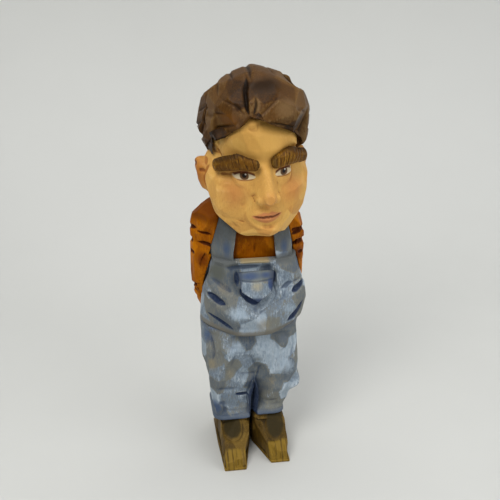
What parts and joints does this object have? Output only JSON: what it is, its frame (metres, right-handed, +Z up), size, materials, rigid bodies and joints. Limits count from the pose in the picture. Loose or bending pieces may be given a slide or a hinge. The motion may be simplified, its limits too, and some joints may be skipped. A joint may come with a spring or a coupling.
{
  "type": "carved wooden figurine",
  "caption": "Small hand-carved, painted wooden figure of a standing man in bib overalls with his arms behind his back.",
  "frame": {"origin": "on the surface that the figure stands on, under the middle of its box", "axes": "+Z up through the head, -Y out of the figure's front, +X to the figure's own left"},
  "size_m": [0.037, 0.0374, 0.1328],
  "materials": {
    "painted_skin": "thin flesh-coloured wash over basswood, satin",
    "painted_hair": "dark brown wash over basswood, satin",
    "painted_brow": "olive brown wash over basswood, satin",
    "painted_shirt": "orange brown stain over basswood, satin",
    "painted_denim": "blue grey wash, dry-brushed with a pale grey, matt",
    "painted_shoe": "dark olive brown wash with ochre streaks, satin"
  },
  "bodies": {
    "root": {"bib_pocket": "painted_denim", "hair": "painted_hair", "head": "painted_skin", "left_eyebrow": "painted_brow", "left_hand": "painted_skin", "left_shoe": "painted_shoe", "left_sleeve": "painted_shirt", "left_strap": "painted_denim", "overalls_back": "painted_denim", "overalls_front": "painted_denim", "right_eyebrow": "painted_brow", "right_hand": "painted_skin", "right_shoe": "painted_shoe", "right_sleeve": "painted_shirt", "right_strap": "painted_denim", "torso": "painted_shirt", "trousers": "painted_denim"}
  },
  "joints": []
}
